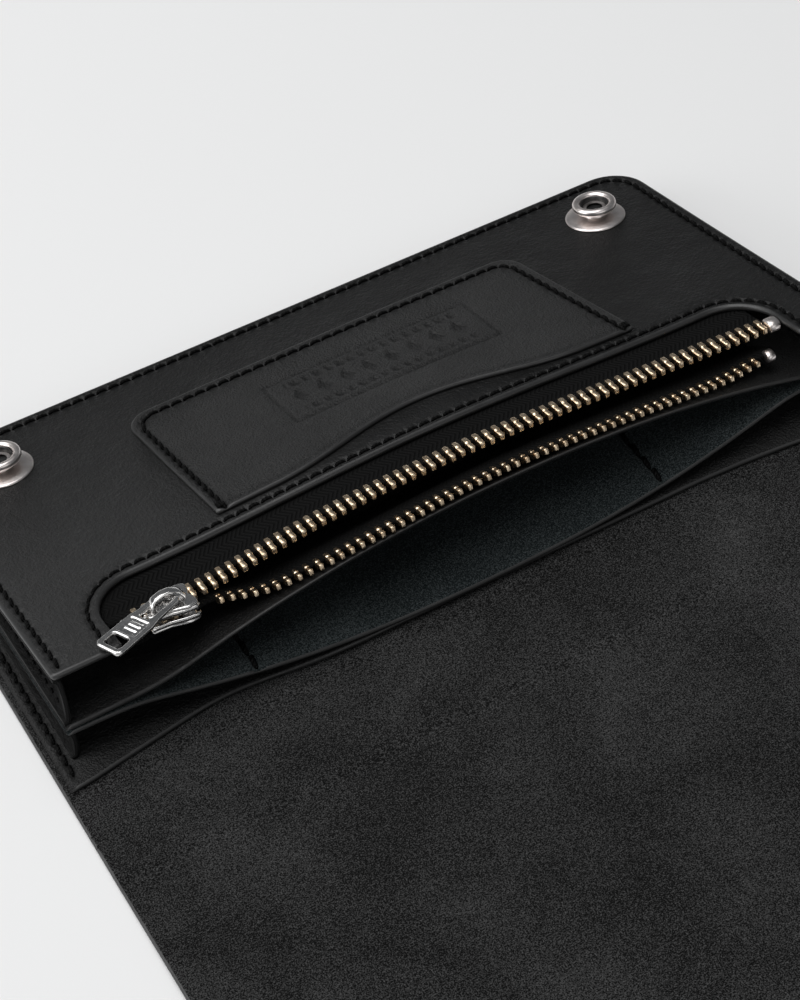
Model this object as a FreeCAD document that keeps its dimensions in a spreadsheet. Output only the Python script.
import FreeCAD, Part
import math
import os

import Sketcher
from FreeCAD import Placement, Rotation, Vector

# Long leather chain wallet, lying open on its back with the flap laid out flat.
# +X runs along the fold, +Y from the flap to the snap edge, +Z up.
# The origin is the bottom centre of the open wallet's bounding box.
#
# The body of the wallet is three leaves sewn together along the far (snap) edge and
# fanned apart at the fold: the back with its card panel, the middle leaf and the front
# leaf with the zip. Middle and front leaf are modelled in a local frame whose origin is
# on the far edge under the leaf, with -Y running down to the mouth.

SIZES = [
    ("outer_length", 210.0, "outer leather, along the fold"),
    ("leaf_length", 200.0, "front and middle leaf, along the fold"),
    ("card_length", 207.0, "card panel, along the fold"),
    ("far_edge", 112.5, "y of the snap edge"),
    ("leaf_edge", 112.0, "y of the leaves' sewn edge"),
    ("fold_one", 12.5, "y of the crease between back and spine"),
    ("fold_two", -11.5, "y of the crease between spine and flap"),
    ("crease_gap", 1.2, "from a crease to the rigid leather past it"),
    ("spine_gap", 0.3, "from a crease to the spine strip"),
    ("outer_thick", 1.8, "outer leather"),
    ("corner_radius", 10.0, "rounded outer corners"),
    ("flap_rise", 0.85, "degrees that the snap caps lift the open flap"),
    ("card_thick", 1.2, "card panel leather"),
    ("card_near", 14.5, "y of the card panel's mouth edge"),
    ("divider_thick", 1.0, "divider leather"),
    ("divider_sag", 4.0, "how far the divider's mouth hangs"),
    ("middle_thick", 1.2, "middle leaf leather"),
    ("middle_bow", 1.75, "how far the middle leaf's mouth bows up"),
    ("middle_depth", 92.7, "middle leaf, edge to mouth"),
    ("middle_base", 3.3, "height of the middle leaf's sewn edge"),
    ("middle_tilt", 5.3, "degrees of fan, middle leaf"),
    ("front_thick", 1.6, "front leaf leather"),
    ("front_depth", 92.5, "front leaf, edge to mouth"),
    ("front_base", 5.8, "height of the front leaf's sewn edge"),
    ("front_tilt", 13.6, "degrees of fan, front leaf"),
    ("window_half", 84.0, "half length of the zip window"),
    ("window_back", 71.3, "far edge to the zip window's long side"),
    ("window_radius", 11.0, "rounded window corners"),
    ("patch_shift", 3.5, "x of the patch pocket's middle"),
    ("patch_near_half", 54.3, "patch pocket, half length at its mouth"),
    ("patch_far_half", 51.5, "patch pocket, half length at its far side"),
    ("patch_near", 66.7, "far edge to the patch pocket's mouth"),
    ("patch_far", 19.0, "far edge to the patch pocket's far side"),
    ("patch_thick", 1.3, "patch pocket leather"),
    ("patch_radius", 6.0, "patch pocket's far corners"),
    ("thumb_half", 36.0, "half length of the thumb cut"),
    ("thumb_depth", 6.5, "depth of the thumb cut"),
    ("zip_centre", 86.3, "far edge to the middle of the zip chain"),
    ("zip_drop", 0.3, "chain centre below the front leaf"),
    ("tape_half", 84.0, "half length of the zip tapes"),
    ("tape_width", 15.0, "one zip tape"),
    ("tape_thick", 0.5, "one zip tape"),
    ("tape_lap", 0.2, "tape edge past the teeth's roots"),
    ("row_half", 77.5, "middle of the zip to its last tooth"),
    ("lower_row_start", -60.0, "x of the first lower tooth that is free of the slider"),
    ("lower_row_inset", 1.3, "middle leaf's mouth to the tips of the lower teeth"),
    ("lower_row_clear", 0.1, "lower teeth above the bowed middle leaf"),
    ("tooth_pitch", 2.5, "zip teeth"),
    ("tooth_width", 1.25, "one tooth along the zip"),
    ("tooth_reach", 3.0, "one tooth across the zip"),
    ("tooth_high", 2.4, "one tooth through the zip"),
    ("tooth_leg_share", 0.7, "height of a tooth's legs, of the whole tooth"),
    ("tooth_head", 1.1, "a tooth's head across the zip"),
    ("tooth_head_share", 1.1, "width of a tooth's head, of its legs"),
    ("top_stop_x", 81.0, "start of both top stops"),
    ("top_stop_long", 2.0, "top stops"),
    ("bottom_stop_x", -81.5, "start of the bottom stop"),
    ("bottom_stop_long", 2.4, "bottom stop"),
    ("slider_length", 11.0, "slider body"),
    ("slider_half", 4.4, "slider body, half width"),
    ("slider_x", -71.0, "slider's middle at the open end"),
    ("slider_gap", 1.5, "half the channel in the slider"),
    ("plate_thick", 0.8, "slider plates and side flanges"),
    ("tape_slot", 0.25, "play between a tape and the slider's flanges"),
    ("wedge_long", 2.5, "wedge that parts the rows"),
    ("wedge_wide", 1.3, "wedge that parts the rows"),
    ("wedge_inset", 0.3, "wedge from the slider's front end"),
    ("wedge_shift", 0.8, "wedge off the slider's middle"),
    ("loop_start", 1.5, "slider's tail to the loop"),
    ("loop_leg", 1.5, "each leg of the loop"),
    ("loop_length", 7.5, "loop on the slider"),
    ("loop_width", 2.0, "loop on the slider"),
    ("loop_high", 2.7, "loop on the slider"),
    ("pull_x", -70.2, "the pull's pivot"),
    ("pull_z", 2.95, "the pull's pivot above the front leaf's underside"),
    ("pull_length", 20.0, "pull tab"),
    ("pull_width", 7.0, "pull tab"),
    ("pull_thick", 1.2, "pull tab"),
    ("pull_eye_play", 0.4, "loop eye past the loop, each side"),
    ("tip_eye_long", 3.6, "eye at the pull's tip"),
    ("tip_eye_wide", 4.4, "eye at the pull's tip"),
    ("tip_eye_wall", 1.4, "pull's tip to its eye"),
    ("pull_droop", 1.0, "degrees that the pull hangs below the slider"),
    ("snap_x", 81.0, "snaps, from the middle"),
    ("snap_inset", 16.8, "far edge to the stud centres"),
    ("snap_reach", 84.05, "second crease to the socket centres"),
    ("stud_base_r", 7.6, "stud flange"),
    ("stud_ring_r", 5.5, "stud head"),
    ("stud_neck_r", 3.0, "stud neck"),
    ("stud_high", 4.6, "stud, from leather to head"),
    ("stud_head_high", 1.8, "stud head"),
    ("stud_bevel", 0.9, "slope round the stud flange"),
    ("stud_rim", 0.35, "stud flange's upright rim"),
    ("head_bevel", 0.7, "rounding of the stud head"),
    ("head_lip", 2.2, "flat lip round the stud head's well"),
    ("post_r", 2.0, "rivet post in the leather"),
    ("rivet_r", 4.5, "rivet's flat head under the leather"),
    ("rivet_thick", 0.6, "rivet's flat head under the leather"),
    ("socket_r", 7.4, "socket"),
    ("socket_bore_r", 6.0, "socket"),
    ("socket_deep", 3.4, "socket"),
    ("cap_r", 7.6, "snap cap on the flap's outside"),
    ("cap_thick", 1.2, "snap cap on the flap's outside"),
    ("eyelet_x", 97.0, "chain eyelet, near the end of the spine"),
    ("eyelet_y", 0.5, "chain eyelet"),
    ("eyelet_bore_r", 3.0, "chain eyelet"),
    ("eyelet_tube_r", 3.6, "chain eyelet"),
    ("eyelet_flange_r", 5.5, "chain eyelet"),
    ("eyelet_flange", 0.5, "flange and washer thickness"),
    ("slot_seam_left", -57.0, "x of the card slot's left seam"),
    ("slot_seam_right", 47.0, "x of the card slot's right seam"),
    ("slot_seam_long", 22.0, "card slot seams"),
    ("seam_inset", 2.6, "edge to the thread"),
    ("thread_wide", 0.6, "sewing thread"),
    ("thread_high", 0.25, "thread standing on the leather"),
    ("gusset_inset", 1.5, "leaf end to the gusset"),
    ("gusset_fold", 7.0, "depth of the gusset's fold"),
    ("gusset_thick", 1.0, "gusset leather"),
    ("clear", 0.35, "between soft pieces that move apart"),
]

doc = FreeCAD.newDocument("chain_wallet")
sheet = doc.addObject("Spreadsheet::Sheet", "Sizes")
for row, (name, value, note) in enumerate(SIZES, start=1):
    sheet.set(f"A{row}", name)
    sheet.set(f"B{row}", str(value))
    sheet.set(f"C{row}", note)
    sheet.setAlias(f"B{row}", name)
doc.recompute()

nodes = []


def size(name):
    """A driving dimension, read from the sheet."""
    return float(sheet.get(name))


def bind(obj, prop, formula):
    """Ties a property to the sheet: words in braces are the sheet's names."""
    obj.setExpression(prop, formula.replace("{", "Sizes.").replace("}", ""))


def keep(obj, label, place=None):
    """Names a sub-part, puts it in its place and lists it for export."""
    obj.Label = label
    if place is not None:
        obj.Placement = place
    nodes.append(obj)
    return obj


# --- frames -----------------------------------------------------------------------------

AXIS_X = Vector(1, 0, 0)


def leaf_place(base, tilt):
    """The frame of a leaf: origin on the sewn edge, its mouth lifted by the tilt."""
    return Placement(Vector(0, size("leaf_edge"), base), Rotation(AXIS_X, -tilt))


def middle_place():
    return leaf_place(size("middle_base"), size("middle_tilt"))


def front_place():
    return leaf_place(size("front_base"), size("front_tilt"))


def flap_place():
    """The frame of the flap: origin on the second crease in the middle of the leather."""
    middle = size("outer_thick") / 2
    spot = Vector(0, size("fold_two"), middle)
    return Placement(spot, Rotation(AXIS_X, -size("flap_rise")))


# --- sketch helpers ---------------------------------------------------------------------


def new_body(name):
    return doc.addObject("PartDesign::Body", name + "_body")


def origin_plane(body, role):
    return [f for f in body.Origin.OriginFeatures if f.Role == role][0]


def new_sketch(body, name, role="XY_Plane", lift=0.0):
    """A sketch on one of the body's own planes, lifted along its normal."""
    sketch = body.newObject("Sketcher::SketchObject", name)
    sketch.AttachmentSupport = [(origin_plane(body, role), "")]
    sketch.MapMode = "FlatFace"
    sketch.AttachmentOffset = Placement(Vector(0, 0, lift), Rotation())
    return sketch


def line(sketch, start, end):
    return sketch.addGeometry(Part.LineSegment(Vector(*start, 0), Vector(*end, 0)))


def signed_distance(sketch, kind, geo, point, value, name, formula):
    """Ties a point to the origin along X or Y; the formula is the plain distance."""
    ends = (-1, 1, geo, point) if value > 0 else (geo, point, -1, 1)
    index = sketch.addConstraint(Sketcher.Constraint(kind, *ends, abs(value)))
    sketch.renameConstraint(index, name)
    bind(sketch, "Constraints." + name, formula)


def rectangle(sketch, half, near, far):
    """A rectangle centred on X=0 from near to far; each bound is (value, formula)."""
    corners = [(-half[0], near[0]), (half[0], near[0]), (half[0], far[0]), (-half[0], far[0])]
    for i in range(4):
        line(sketch, corners[i], corners[(i + 1) % 4])
    for i in range(4):
        sketch.addConstraint(Sketcher.Constraint("Coincident", i, 2, (i + 1) % 4, 1))
    sketch.addConstraint(Sketcher.Constraint("Horizontal", 2))
    for i in (1, 3):
        sketch.addConstraint(Sketcher.Constraint("Vertical", i))
    sketch.addConstraint(Sketcher.Constraint("Symmetric", 0, 1, 0, 2, -2))
    signed_distance(sketch, "DistanceX", 0, 2, half[0], "half", half[1])
    signed_distance(sketch, "DistanceY", 0, 1, near[0], "near", near[1])
    if far[0]:
        signed_distance(sketch, "DistanceY", 2, 1, far[0], "far", far[1])
    else:
        sketch.addConstraint(Sketcher.Constraint("PointOnObject", 2, 1, -1))


def pad(body, sketch, formula, name):
    feature = body.newObject("PartDesign::Pad", name)
    feature.Profile = sketch
    bind(feature, "Length", formula)
    doc.recompute()
    return feature


def pocket(body, sketch, name, upward=True):
    """Cuts the sketch right through and checks that material was taken away."""
    before = body.Shape.Volume
    feature = body.newObject("PartDesign::Pocket", name)
    feature.Profile = sketch
    feature.Type = 1
    feature.Reversed = upward
    doc.recompute()
    if body.Shape.Volume >= before - 0.01:
        raise RuntimeError(name + " cut nothing")
    return feature


def upright_edges(shape, test):
    """Names of the edges that stand along Z and whose foot passes the test."""
    found = []
    for i, edge in enumerate(shape.Edges, start=1):
        ends = [v.Point for v in edge.Vertexes]
        if len(ends) == 2 and math.hypot(ends[0].x - ends[1].x, ends[0].y - ends[1].y) < 1e-6:
            if test(ends[0]):
                found.append(f"Edge{i}")
    return found


def round_corners(body, base, test, formula, name):
    feature = body.newObject("PartDesign::Fillet", name)
    feature.Base = (base, upright_edges(base.Shape, test))
    bind(feature, "Radius", formula)
    doc.recompute()
    return feature


def holes(body, centres, radius, name):
    """Round holes straight through; radius is (value, formula)."""
    sketch = new_sketch(body, name + "_sketch", lift=-size("outer_thick"))
    for i, (x, y) in enumerate(centres):
        sketch.addGeometry(Part.Circle(Vector(x, y, 0), Vector(0, 0, 1), radius[0]))
        index = sketch.addConstraint(Sketcher.Constraint("Radius", i, radius[0]))
        sketch.renameConstraint(index, f"radius_{i}")
        bind(sketch, f"Constraints.radius_{i}", radius[1])
    return pocket(body, sketch, name)


def plate(label, half, near, far, thick, place, corners=None, lift=0.0):
    """A flat piece of leather or tape: a padded rectangle with some rounded corners."""
    body = new_body(label)
    sketch = new_sketch(body, label + "_outline", lift=lift)
    rectangle(sketch, half, near, far)
    feature = pad(body, sketch, thick, label + "_pad")
    if corners:
        round_corners(body, feature, corners, "{corner_radius}", label + "_corners")
    return keep(body, label, place)


def solid(label, shape, place):
    """A sub-part whose shape is worked out below from the sheet's sizes."""
    feature = doc.addObject("Part::Feature", label + "_shape")
    feature.Shape = shape
    return keep(feature, label, place)


def revolved(name, outline):
    """A turned piece: (radius, height) points spun about Z."""
    points = [Vector(r, 0, h) for r, h in outline]
    face = Part.Face(Part.makePolygon(points + points[:1]))
    return face.revolve(Vector(0, 0, 0), Vector(0, 0, 1), 360)


def pair(shape, x, y, z):
    """The same piece at both snaps."""
    copies = []
    for side in (-1, 1):
        copy = shape.copy()
        copy.translate(Vector(side * x, y, z))
        copies.append(copy)
    return Part.makeCompound(copies)


# --- outer leather: back, spine and flap of one hide, split at the creases ---------------

outer_half = (size("outer_length") / 2, "{outer_length} / 2")


def make_outer():
    depth = size("far_edge") - size("fold_one") - size("crease_gap")
    place = Placement(Vector(0, size("far_edge"), 0), Rotation())
    plate("outer_back", outer_half, (-depth, "{far_edge} - {fold_one} - {crease_gap}"), (0, ""),
          "{outer_thick}", place, lambda p: p.y > -1)

    body = new_body("outer_spine")
    sketch = new_sketch(body, "spine_outline")
    low = size("fold_two") + size("spine_gap")
    high = size("fold_one") - size("spine_gap")
    rectangle(sketch, outer_half, (low, "-({fold_two} + {spine_gap})"), (high, "{fold_one} - {spine_gap}"))
    pad(body, sketch, "{outer_thick}", "spine_pad")
    spot = (size("eyelet_x"), size("eyelet_y"))
    holes(body, [spot], (size("eyelet_tube_r"), "{eyelet_tube_r}"), "eyelet_hole")
    sink = new_sketch(body, "washer_sink", lift=size("eyelet_flange"))
    sink.addGeometry(Part.Circle(Vector(*spot, 0), Vector(0, 0, 1), size("eyelet_flange_r")))
    before = body.Shape.Volume
    cut = body.newObject("PartDesign::Pocket", "washer_seat")
    cut.Profile = sink
    bind(cut, "Length", "{eyelet_flange}")
    doc.recompute()
    if body.Shape.Volume >= before - 1:
        raise RuntimeError("washer_seat cut nothing")
    keep(body, "outer_spine")


def make_flap():
    """The flap in its own frame, from the second crease down to its rounded end."""
    body = new_body("outer_flap")
    sketch = new_sketch(body, "flap_outline", lift=-size("outer_thick") / 2)
    end = -(size("far_edge") + size("fold_two"))
    start = -size("crease_gap")
    rectangle(sketch, outer_half, (end, "{far_edge} + {fold_two}"), (start, "{crease_gap}"))
    base = pad(body, sketch, "{outer_thick}", "flap_pad")
    round_corners(body, base, lambda p: p.y < end + 1, "{corner_radius}", "flap_corners")
    spots = [(side * size("snap_x"), -size("snap_reach")) for side in (-1, 1)]
    holes(body, spots, (size("post_r"), "{post_r}"), "snap_holes")
    keep(body, "outer_flap", flap_place())


# --- back leaf: card panel ---------------------------------------------------------------


def make_card_panel():
    depth = size("leaf_edge") - size("card_near")
    place = Placement(Vector(0, size("leaf_edge"), size("outer_thick")), Rotation())
    plate("card_panel", (size("card_length") / 2, "{card_length} / 2"),
          (-depth, "{leaf_edge} - {card_near}"), (0, ""), "{card_thick}", place, lambda p: p.y > -1)


# --- middle leaf: bowed panel over a hanging divider --------------------------------------


def arched_profile(half, y, low, thick, rise):
    """A closed strip across the leaf at y, whose middle stands higher by the rise."""
    left, right = Vector(-half, y, low), Vector(half, y, low)
    up = Vector(0, 0, thick)
    crown = Vector(0, y, low + rise)
    lower = Part.Arc(left, crown, right).toShape()
    upper = Part.Arc(right + up, crown + up, left + up).toShape()
    sides = [Part.makeLine(right, right + up), Part.makeLine(left + up, left)]
    return Part.Wire([lower, sides[0], upper, sides[1]])


def flat_profile(half, y, low, thick):
    left, right = Vector(-half, y, low), Vector(half, y, low)
    up = Vector(0, 0, thick)
    return Part.makePolygon([left, right, right + up, left + up, left])


def rounded_blank(half, depth, radius, high):
    """A block with two rounded far corners, to trim a leaf's outline with."""
    turn = radius * (1 - math.sqrt(0.5))
    near = [Vector(-half, -depth, -high), Vector(half, -depth, -high)]
    right = [Vector(half, -radius, -high), Vector(half - turn, -turn, -high), Vector(half - radius, 0, -high)]
    left = [Vector(-p.x, p.y, p.z) for p in reversed(right)]
    sides = [
        Part.makeLine(near[0], near[1]), Part.makeLine(near[1], right[0]), Part.Arc(*right).toShape(),
        Part.makeLine(right[2], left[0]), Part.Arc(*left).toShape(), Part.makeLine(left[2], near[0]),
    ]
    return Part.Face(Part.Wire(sides)).extrude(Vector(0, 0, 2 * high))


def arched_sheet(label, low, thick, rise):
    """A leaf of leather, straight at the sewn edge and arched at its mouth."""
    half, depth = size("leaf_length") / 2, size("middle_depth")
    mouth = arched_profile(half, -depth, low, thick, rise)
    sewn = flat_profile(half, 0, low, thick)
    leaf = Part.makeLoft([mouth, sewn], True, True)
    blank = rounded_blank(half, depth, size("corner_radius"), 4 * size("divider_sag"))
    return solid(label, leaf.common(blank), middle_place())


def make_middle():
    arched_sheet("card_divider", 0, size("divider_thick"), -size("divider_sag"))
    arched_sheet("middle_panel", size("divider_thick"), size("middle_thick"), size("middle_bow"))


def middle_top():
    """Height of the middle leaf's face above its frame, at the ends."""
    return size("divider_thick") + size("middle_thick")


# --- front leaf: panel with the zip window, patch pocket -----------------------------------


def make_front_panel():
    body = new_body("front_panel")
    sketch = new_sketch(body, "front_outline")
    half = (size("leaf_length") / 2, "{leaf_length} / 2")
    rectangle(sketch, half, (-size("front_depth"), "{front_depth}"), (0, ""))
    base = pad(body, sketch, "{front_thick}", "front_pad")
    round_corners(body, base, lambda p: p.y > -1, "{corner_radius}", "front_corners")
    window = new_sketch(body, "window_outline", lift=-size("front_thick"))
    below = size("front_depth") + size("window_radius")
    rectangle(window, (size("window_half"), "{window_half}"),
              (-below, "{front_depth} + {window_radius}"), (-size("window_back"), "{window_back}"))
    cut = pocket(body, window, "zip_window")

    def at_back_corner(p):
        return abs(p.y + size("window_back")) < 0.1 and abs(p.x) < size("window_half") + 1

    round_corners(body, cut, at_back_corner, "{window_radius}", "window_corners")
    spots = [(side * size("snap_x"), -size("snap_inset")) for side in (-1, 1)]
    holes(body, spots, (size("post_r"), "{post_r}"), "stud_holes")
    keep(body, "front_panel", front_place())


def patch_outline(z):
    """The patch pocket's outline: straight sides, rounded far corners, thumb cut at the mouth."""
    x = size("patch_shift")
    near, far = -size("patch_near"), -size("patch_far")
    low, high = size("patch_near_half"), size("patch_far_half")
    radius, thumb = size("patch_radius"), size("thumb_half")
    turn = radius * (1 - math.sqrt(0.5))
    right = [Vector(x + high, far - radius, z), Vector(x + high - turn, far - turn, z),
             Vector(x + high - radius, far, z)]
    left = [Vector(2 * x - p.x, p.y, z) for p in reversed(right)]
    corners = [Vector(x - low, near, z), Vector(x + low, near, z)]
    cut = [Vector(x - thumb, near, z), Vector(x, near + size("thumb_depth"), z), Vector(x + thumb, near, z)]
    return Part.Wire([
        Part.makeLine(corners[1], right[0]), Part.Arc(*right).toShape(), Part.makeLine(right[2], left[0]),
        Part.Arc(*left).toShape(), Part.makeLine(left[2], corners[0]), Part.makeLine(corners[0], cut[0]),
        Part.Arc(*cut).toShape(), Part.makeLine(cut[2], corners[1]),
    ])


def make_patch():
    shape = Part.Face(patch_outline(size("front_thick"))).extrude(Vector(0, 0, size("patch_thick")))
    solid("patch_pocket", shape, front_place())


# --- gussets: folded leather at both ends of each opening -----------------------------------


def gusset_profile(side, y, low, high):
    """A V lying on its side, open outwards, between two heights at y."""
    outer = size("leaf_length") / 2 - size("gusset_inset")
    thick = size("gusset_thick")
    fold = outer - size("gusset_fold")
    middle = (low + high) / 2
    points = [
        (outer, high), (outer - thick, high), (fold - thick, middle),
        (outer - thick, low), (outer, low), (fold, middle),
    ]
    corners = [Vector(side * x, y, z) for x, z in points]
    return Part.makePolygon(corners + corners[:1])


def gusset(label, side, near, far, low_at, high_at):
    ends = [gusset_profile(side, y, low_at(y), high_at(y)) for y in (near, far)]
    shape = Part.makeLoft(ends, True, True)
    solid(label, shape, Placement())


def make_gussets():
    clear = size("clear")
    edge = size("leaf_edge")
    steep = math.tan(math.radians(size("front_tilt")))
    gentle = math.tan(math.radians(size("middle_tilt")))
    card_top = size("outer_thick") + size("card_thick")

    def over_card(_):
        return card_top + clear

    def under_middle(y):
        return size("middle_base") + (edge - y) * gentle - 2 * clear

    def over_middle(y):
        return size("middle_base") + middle_top() + (edge - y) * gentle + 2 * clear

    def under_front(y):
        return size("front_base") + (edge - y) * steep - clear

    for side, name in ((-1, "left"), (1, "right")):
        gusset("lower_gusset_" + name, side, edge - size("middle_depth") + 3, edge - 18,
               over_card, under_middle)
        gusset("upper_gusset_" + name, side, edge - size("front_depth") + 4, edge - 13,
               over_middle, under_front)


# --- zip -------------------------------------------------------------------------------------


def zip_row(first, last, root, centre):
    """Teeth from first to last along X; each stands out from the tape's edge at root."""
    pitch, wide = size("tooth_pitch"), size("tooth_width")
    reach, high = size("tooth_reach"), size("tooth_high")
    leg_high, head = high * size("tooth_leg_share"), size("tooth_head")
    head_wide = wide * size("tooth_head_share")
    count = int(round((last - first) / pitch)) + 1
    teeth = []
    for i in range(count):
        x = first + i * pitch
        tip = root - reach
        leg = Part.makeBox(wide, reach, leg_high, Vector(x - wide / 2, tip, centre - leg_high / 2))
        nib = Part.makeBox(head_wide, head, high, Vector(x - head_wide / 2, tip, centre - high / 2))
        teeth.append(leg.fuse(nib).removeSplitter())
    return Part.makeCompound(teeth)


def make_zip():
    front, middle = front_place(), middle_place()
    half = size("tape_half")
    wide, thick, reach = size("tape_width"), size("tape_thick"), size("tooth_reach")
    centre = -size("zip_drop")
    lap = size("tape_lap")
    root = -size("zip_centre") + reach + lap
    tape = (half, "{tape_half}")
    plate("upper_tape", tape, (root, "{zip_centre} - {tooth_reach} - {tape_lap}"),
          (root + wide, "{zip_centre} - {tooth_reach} - {tape_lap} - {tape_width}"),
          "{tape_thick}", front, lift=centre - thick / 2)
    solid("upper_teeth", zip_row(-size("row_half"), size("row_half"), root, centre), front)

    high = size("tooth_high")
    lower_centre = middle_top() + size("middle_bow") + high / 2 + size("lower_row_clear")
    lower_root = -size("middle_depth") + size("lower_row_inset") + reach
    plate("lower_tape", tape, (lower_root, "{middle_depth} - {lower_row_inset} - {tooth_reach}"),
          (lower_root + wide, "{middle_depth} - {lower_row_inset} - {tooth_reach} - {tape_width}"),
          "{tape_thick}", middle, lift=lower_centre - thick / 2)
    row = zip_row(size("lower_row_start"), size("row_half"), lower_root, lower_centre)
    solid("lower_teeth", row, middle)

    stop_x, long = size("top_stop_x"), size("top_stop_long")
    stop = Part.makeBox(long, reach, high, Vector(stop_x, root - reach, centre - high / 2))
    solid("upper_top_stop", stop, front)
    stop = Part.makeBox(long, reach, high, Vector(stop_x, lower_root - reach, lower_centre - high / 2))
    solid("lower_top_stop", stop, middle)
    spot = Vector(size("bottom_stop_x"), root - 2 * reach, centre - high / 2)
    solid("bottom_stop", Part.makeBox(size("bottom_stop_long"), 2 * reach, high, spot), front)


def make_slider():
    """Two plates joined by side flanges and a wedge, with a loop on top for the pull."""
    place = front_place()
    length, half = size("slider_length"), size("slider_half")
    gap, thick = size("slider_gap"), size("plate_thick")
    x = size("slider_x") - length / 2
    y = -size("zip_centre") - half
    z = -size("zip_drop")
    plates = [Part.makeBox(length, 2 * half, thick, Vector(x, y, z + level))
              for level in (gap, -gap - thick)]
    slot = size("tape_thick") / 2 + size("tape_slot")
    flanges = []
    for side in (y, y + 2 * half - thick):
        for level in (slot, -gap):
            flanges.append(Part.makeBox(length, thick, gap - slot, Vector(x, side, z + level)))
    wedge_long, wedge_wide = size("wedge_long"), size("wedge_wide")
    spot = Vector(x + length - wedge_long - size("wedge_inset"),
                  y + half - wedge_wide / 2 - size("wedge_shift"), z - gap)
    wedge = Part.makeBox(wedge_long, wedge_wide, 2 * gap, spot)
    body = plates[0].multiFuse(plates[1:] + flanges + [wedge]).removeSplitter()
    solid("slider_body", body, place)

    top = z + gap + thick
    loop_long, loop_wide, leg = size("loop_length"), size("loop_width"), size("loop_leg")
    start = Vector(x + size("loop_start"), y + half - loop_wide / 2, top)
    arch = Part.makeBox(loop_long, loop_wide, size("loop_high"), start)
    inside = start + Vector(leg, 0, 0)
    hole = Part.makeBox(loop_long - 2 * leg, loop_wide, size("loop_high") - thick, inside)
    solid("slider_bridge", arch.cut(hole), place)


def pull_place():
    """The pull's frame: its axis through the slider's loop, the tab lying towards -X."""
    spot = Vector(size("pull_x"), -size("zip_centre"), size("pull_z"))
    return front_place().multiply(Placement(spot, Rotation(Vector(0, 1, 0), -size("pull_droop"))))


def make_pull():
    """A flat tab with an eye at each end: one round the slider's loop, one at the tip."""
    length, wide, thick = size("pull_length"), size("pull_width"), size("pull_thick")
    bar = thick / 2
    tab = Part.makeBox(length, wide, thick, Vector(bar - length, -wide / 2, -thick / 2))
    upright = [e for e in tab.Edges if abs(e.Vertexes[0].X - e.Vertexes[1].X) < 1e-6
               and abs(e.Vertexes[0].Y - e.Vertexes[1].Y) < 1e-6]
    tab = tab.makeFillet(thick, upright)
    loop_long, loop_half = size("loop_length"), size("loop_width") / 2 + size("pull_eye_play")
    loop_eye = Part.makeBox(loop_long, 2 * loop_half, 2 * thick, Vector(-loop_long - bar, -loop_half, -thick))
    eye_wide = size("tip_eye_wide")
    spot = Vector(bar - length + size("tip_eye_wall"), -eye_wide / 2, -thick)
    tip_eye = Part.makeBox(size("tip_eye_long"), eye_wide, 2 * thick, spot)
    solid("pull_tab", tab.cut(loop_eye).cut(tip_eye), pull_place())


# --- snaps and chain eyelet ---------------------------------------------------------------------


def make_studs():
    place = front_place()
    top = size("front_thick")
    base_r, neck_r, ring_r = size("stud_base_r"), size("stud_neck_r"), size("stud_ring_r")
    post_r, high, slope = size("post_r"), size("stud_high"), size("stud_bevel")
    low = high - size("stud_head_high")
    base = revolved("stud_base", [
        (post_r, 0), (base_r, 0), (base_r, size("stud_rim")), (base_r - slope, slope), (neck_r, slope),
        (neck_r, low), (post_r, low),
    ])
    solid("snap_stud_bases", pair(base, size("snap_x"), -size("snap_inset"), top), place)
    bevel = size("head_bevel")
    ring = revolved("stud_ring", [
        (post_r, low), (ring_r - bevel, low), (ring_r, low + bevel), (ring_r, high - bevel),
        (ring_r - bevel, high), (ring_r - size("head_lip"), high), (post_r, high - slope),
    ])
    solid("snap_stud_rings", pair(ring, size("snap_x"), -size("snap_inset"), top), place)
    rivet_r, rivet, tip = size("rivet_r"), size("rivet_thick"), top + low + size("rivet_thick")
    post = revolved("stud_post", [
        (0, -rivet), (rivet_r, -rivet), (rivet_r, 0), (post_r, 0), (post_r, tip), (0, tip),
    ])
    solid("snap_stud_posts", pair(post, size("snap_x"), -size("snap_inset"), 0), place)


def make_sockets():
    place = flap_place()
    half_thick = size("outer_thick") / 2
    outer_r, bore_r, deep = size("socket_r"), size("socket_bore_r"), size("socket_deep")
    socket = revolved("socket", [
        (size("post_r"), 0), (outer_r, 0), (outer_r, deep - 0.6), (outer_r - 0.6, deep), (bore_r, deep),
        (bore_r, 0.5), (size("post_r"), 0.5),
    ])
    solid("snap_sockets", pair(socket, size("snap_x"), -size("snap_reach"), half_thick), place)
    thick = size("cap_thick")
    cap = revolved("cap", [
        (0, -thick), (size("cap_r") - 2.5, -thick), (size("cap_r"), -0.3), (size("cap_r"), 0),
        (size("post_r"), 0), (size("post_r"), 2 * half_thick + 0.5), (0, 2 * half_thick + 0.5),
    ])
    solid("snap_caps", pair(cap, size("snap_x"), -size("snap_reach"), -half_thick), place)


def make_eyelet():
    bore, tube, flange_r = size("eyelet_bore_r"), size("eyelet_tube_r"), size("eyelet_flange_r")
    flange, leather = size("eyelet_flange"), size("outer_thick")
    spot = Placement(Vector(size("eyelet_x"), size("eyelet_y"), 0), Rotation())
    eyelet = revolved("eyelet", [
        (bore, 0), (tube, 0), (tube, leather), (flange_r, leather), (flange_r, leather + 0.2),
        (flange_r - 0.6, leather + flange), (bore, leather + flange),
    ])
    solid("chain_eyelet", eyelet, spot)
    washer = revolved("washer", [(tube, 0), (flange_r, 0), (flange_r, flange), (tube, flange)])
    solid("eyelet_washer", washer, spot)


# --- sewing thread --------------------------------------------------------------------------------


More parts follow.
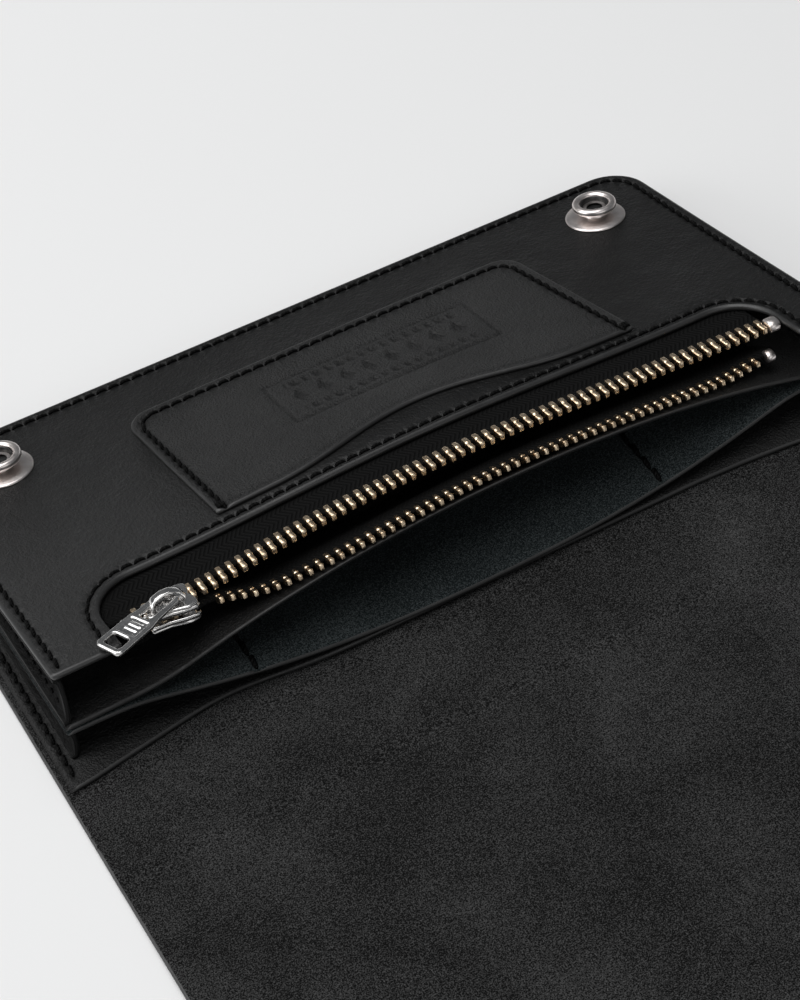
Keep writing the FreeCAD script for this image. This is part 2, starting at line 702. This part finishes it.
def thread_run(points, height):
    """One thread lying on the leather along straight runs between the points."""
    wide, high = size("thread_wide"), size("thread_high")
    runs = []
    for start, end in zip(points, points[1:]):
        start, end = Vector(*start, height), Vector(*end, height)
        along = end - start
        run = Part.makeBox(along.Length + wide, wide, high, Vector(-wide / 2, -wide / 2, 0))
        turn = math.degrees(math.atan2(along.y, along.x))
        run.Placement = Placement(start, Rotation(Vector(0, 0, 1), turn))
        runs.append(run)
    return runs[0] if len(runs) == 1 else runs[0].multiFuse(runs[1:]).removeSplitter()


def slot_seam(x):
    """One short seam on the hanging divider, from its mouth inwards."""
    half, depth = size("leaf_length") / 2, size("middle_depth")
    hang = size("divider_sag") * (1 - (x / half) ** 2)
    ends = []
    for y in (1.0 - depth, 1.0 - depth + size("slot_seam_long")):
        ends.append(Vector(x, y, size("divider_thick") + 0.03 + hang * y / depth))
    along = ends[1] - ends[0]
    wide = size("thread_wide")
    run = Part.makeBox(along.Length, wide, size("thread_high"), Vector(0, -wide / 2, 0))
    run.Placement = Placement(ends[0], Rotation(Vector(1, 0, 0), along))
    return run


def cut_corner(x, y, radius):
    """Three points round a corner, on the right-hand side, from below to the far side."""
    turn = radius * (1 - math.sqrt(0.5))
    return [(x, y - radius), (x - turn, y - turn), (x - radius, y)]


def mirrored(points):
    """The right-hand points followed by their mirror images, in one run."""
    return points + [(-x, y) for x, y in reversed(points)]


def make_threads():
    inset = size("seam_inset")
    top = size("front_thick")
    front, middle = front_place(), middle_place()
    x = size("leaf_length") / 2 - inset
    mouth = -size("front_depth") + inset
    edge = mirrored([(x, mouth)] + cut_corner(x, -inset, size("corner_radius") - inset))
    solid("front_edge_thread", thread_run(edge, top), front)
    x = size("window_half") + inset
    back = -size("window_back") + inset
    window = mirrored([(x, mouth)] + cut_corner(x, back, size("window_radius") + inset))
    solid("window_thread", thread_run(window, top), front)
    shift, over = size("patch_shift"), top + size("patch_thick")
    low, high = size("patch_near_half") - inset, size("patch_far_half") - inset
    far = -size("patch_far") - inset
    patch = mirrored([(low, -size("patch_near") + 1)] + cut_corner(high, far, size("patch_radius") - inset))
    solid("patch_thread", thread_run([(px + shift, py) for px, py in patch], over), front)

    x = size("leaf_length") / 2 - 0.9
    rise = middle_top() + 0.1
    ends = [thread_run([(side * x, -size("middle_depth") + 2), (side * x, -14)], rise) for side in (-1, 1)]
    solid("middle_edge_threads", Part.makeCompound(ends), middle)
    seams = [slot_seam(size("slot_seam_left")), slot_seam(size("slot_seam_right"))]
    solid("card_slot_threads", Part.makeCompound(seams), middle)
    x = size("card_length") / 2 - 1.5
    low, high = size("card_near") + 2, size("leaf_edge") - size("corner_radius") - 2
    card_top = size("outer_thick") + size("card_thick")
    ends = [thread_run([(side * x, low), (side * x, high)], card_top) for side in (-1, 1)]
    solid("card_edge_threads", Part.makeCompound(ends), Placement())


# --- build, check, write ----------------------------------------------------------------------------

make_outer()
make_flap()
make_card_panel()
make_middle()
make_front_panel()
make_patch()
make_gussets()
make_zip()
make_slider()
make_pull()
make_studs()
make_sockets()
make_eyelet()
make_threads()
doc.recompute()

failed = [o.Name for o in doc.Objects if {"Invalid", "Error"} & set(o.State)]
if failed:
    raise RuntimeError("failed features: " + ", ".join(failed))
for node in nodes:
    if node.Shape.isNull() or not node.Shape.isValid() or not node.Shape.Solids:
        raise RuntimeError("bad shape: " + node.Label)

os.makedirs("parts", exist_ok=True)
for node in nodes:
    node.Shape.exportStep(f"parts/{node.Label}.step")
print(len(nodes), "sub-parts written")
